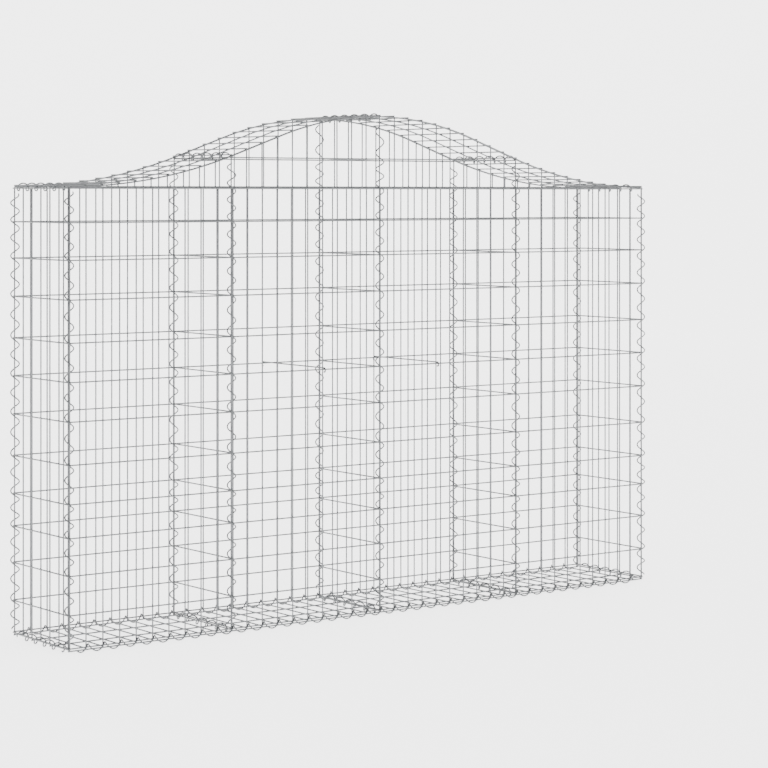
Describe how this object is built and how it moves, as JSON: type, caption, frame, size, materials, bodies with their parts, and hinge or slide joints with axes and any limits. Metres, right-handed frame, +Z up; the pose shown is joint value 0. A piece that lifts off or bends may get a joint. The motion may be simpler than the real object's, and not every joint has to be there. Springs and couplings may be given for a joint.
{
  "type": "arched gabion basket",
  "caption": "Long narrow welded wire mesh basket in bays, with an arched lid, inner partitions, wire tie rods and spiral lacing along every edge, shown empty",
  "frame": {"origin": "the middle of the basket's underside, on the floor, at the lowest point of the bottom lacing", "axes": "+X along the basket's length, -Y the front, +Z up"},
  "size_m": [2.0262, 0.3262, 1.4266],
  "materials": {
    "zinc_mesh": "zinc coated drawn steel wire, satin",
    "zinc_lacing": "zinc coated spring steel wire, satin"
  },
  "bodies": {
    "root": {"arch_edge_wires": "zinc_mesh", "back_left_corner_lacing": "zinc_lacing", "back_right_corner_lacing": "zinc_lacing", "back_rows": "zinc_mesh", "back_uprights": "zinc_mesh", "base_cross_wires": "zinc_mesh", "base_long_wires": "zinc_mesh", "bottom_back_lacing": "zinc_lacing", "bottom_front_lacing": "zinc_lacing", "front_left_corner_lacing": "zinc_lacing", "front_right_corner_lacing": "zinc_lacing", "front_rows": "zinc_mesh", "front_uprights": "zinc_mesh", "left_end_bottom_lacing": "zinc_lacing", "left_end_rows": "zinc_mesh", "left_end_top_lacing": "zinc_lacing", "left_end_uprights": "zinc_mesh", "left_partition_back_lacing": "zinc_lacing", "left_partition_bottom_lacing": "zinc_lacing", "left_partition_front_lacing": "zinc_lacing", "left_partition_rows": "zinc_mesh", "left_partition_top_lacing": "zinc_lacing", "left_partition_uprights": "zinc_mesh", "left_tie": "zinc_lacing", "lid_cross_wires": "zinc_mesh", "lid_long_wires": "zinc_mesh", "middle_partition_back_lacing": "zinc_lacing", "middle_partition_bottom_lacing": "zinc_lacing", "middle_partition_front_lacing": "zinc_lacing", "middle_partition_rows": "zinc_mesh", "middle_partition_top_lacing": "zinc_lacing", "middle_partition_uprights": "zinc_mesh", "right_end_bottom_lacing": "zinc_lacing", "right_end_rows": "zinc_mesh", "right_end_top_lacing": "zinc_lacing", "right_end_uprights": "zinc_mesh", "right_partition_back_lacing": "zinc_lacing", "right_partition_bottom_lacing": "zinc_lacing", "right_partition_front_lacing": "zinc_lacing", "right_partition_rows": "zinc_mesh", "right_partition_top_lacing": "zinc_lacing", "right_partition_uprights": "zinc_mesh", "right_tie": "zinc_lacing"}
  },
  "joints": []
}
